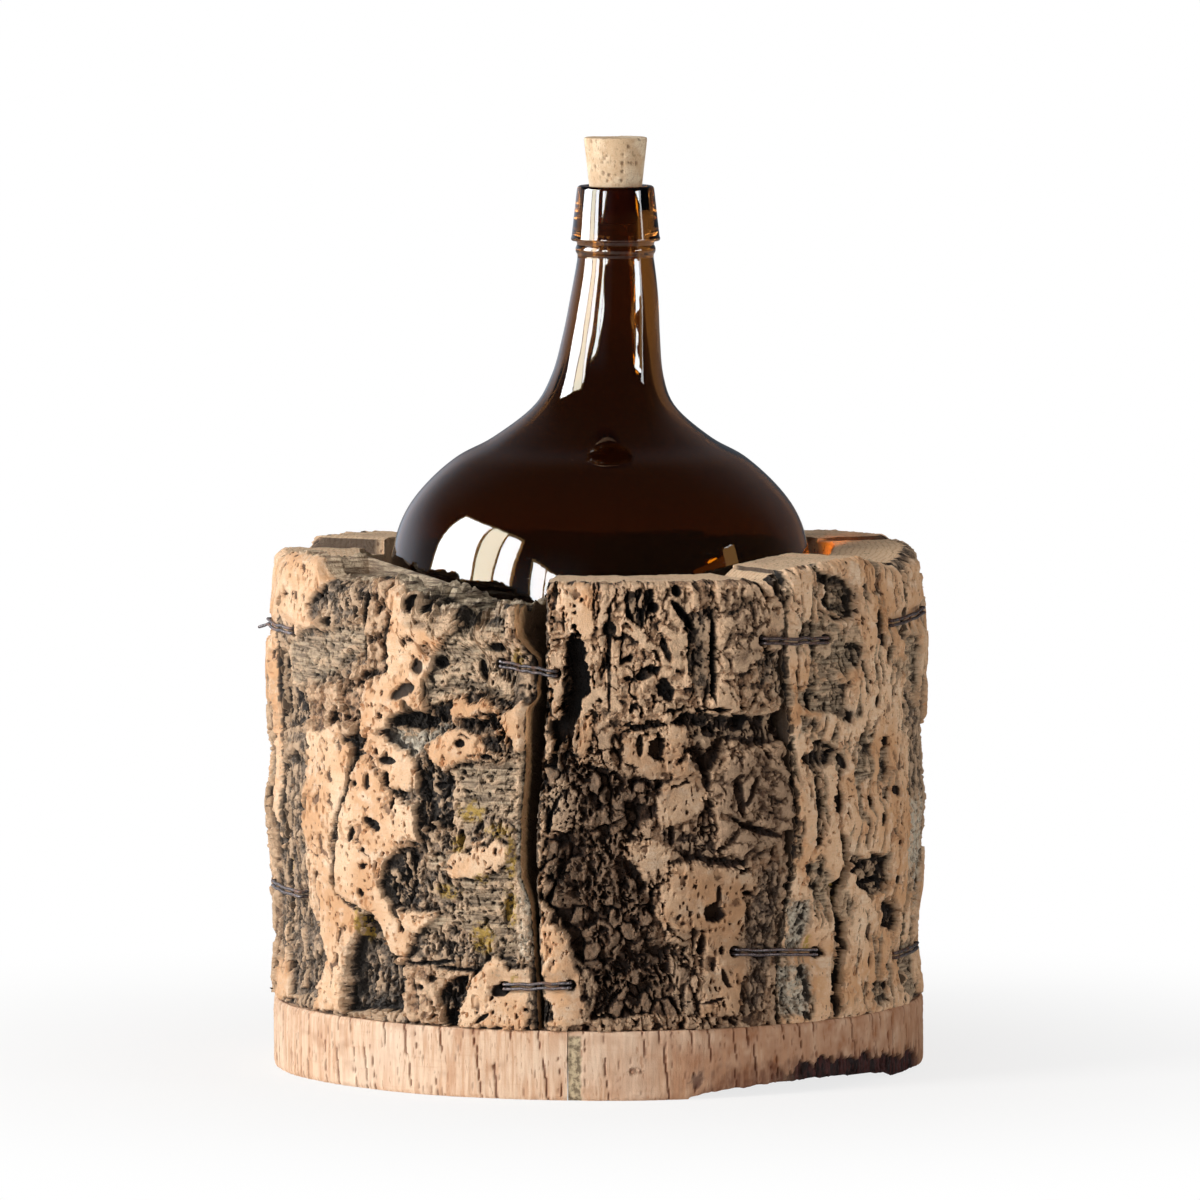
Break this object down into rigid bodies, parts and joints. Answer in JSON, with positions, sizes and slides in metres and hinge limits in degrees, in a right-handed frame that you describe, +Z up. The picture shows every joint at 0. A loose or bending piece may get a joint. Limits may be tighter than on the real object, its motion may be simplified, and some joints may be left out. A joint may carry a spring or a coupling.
{
  "type": "cork-covered demijohn",
  "caption": "Amber glass demijohn with a tapered cork stopper, standing in a round casing of curved cork bark panels stitched with wire on a flat cork base.",
  "frame": {"origin": "middle of the flat underside of the base, on the axis of the bark casing, where the demijohn stands", "axes": "+Z up along the casing and the bottle, -Y the front that the picture shows, +X its right"},
  "size_m": [0.3766, 0.3682, 0.5184],
  "materials": {
    "cork_bark": "rough weathered cork bark, split and pitted, grey outside and tan where it is broken",
    "cork_board": "sawn cork with growth lines and dark pores",
    "stopper_cork": "cream stopper cork with brown pores",
    "amber_glass": "thick, very dark amber glass, glossy",
    "iron_wire": "dull grey iron wire with some rust",
    "peg_wood": "whittled hardwood"
  },
  "bodies": {
    "casing": {"bark_front_left": "cork_bark", "bark_front": "cork_bark", "bark_front_right": "cork_bark", "bark_right": "cork_bark", "bark_back_right": "cork_bark", "bark_back": "cork_bark", "bark_back_left": "cork_bark", "bark_left": "cork_bark", "base_board_left": "cork_board", "base_board_right": "cork_board", "foot_peg_1": "peg_wood", "foot_peg_2": "peg_wood", "foot_peg_3": "peg_wood", "foot_peg_4": "peg_wood", "foot_peg_5": "peg_wood", "foot_peg_6": "peg_wood", "foot_peg_7": "peg_wood", "foot_peg_8": "peg_wood", "board_dowel_front": "peg_wood", "board_dowel_back": "peg_wood", "wire_upper_1": "iron_wire", "wire_upper_2": "iron_wire", "wire_upper_3": "iron_wire", "wire_upper_4": "iron_wire", "wire_upper_5": "iron_wire", "wire_upper_6": "iron_wire", "wire_upper_7": "iron_wire", "wire_upper_8": "iron_wire", "wire_lower_1": "iron_wire", "wire_lower_2": "iron_wire", "wire_lower_3": "iron_wire", "wire_lower_4": "iron_wire", "wire_lower_5": "iron_wire", "wire_lower_6": "iron_wire", "wire_lower_7": "iron_wire", "wire_lower_8": "iron_wire"},
    "bottle": {"glass_bottle": "amber_glass"},
    "stopper": {"cork_stopper": "stopper_cork"}
  },
  "joints": [
    {"name": "bottle_lift", "type": "slide", "parent": "casing", "child": "bottle", "axis": [0, 0, 1], "range_m": [0, 0.26]},
    {"name": "stopper_pull", "type": "slide", "parent": "bottle", "child": "stopper", "axis": [0, 0, 1], "range_m": [0, 0.035]}
  ]
}
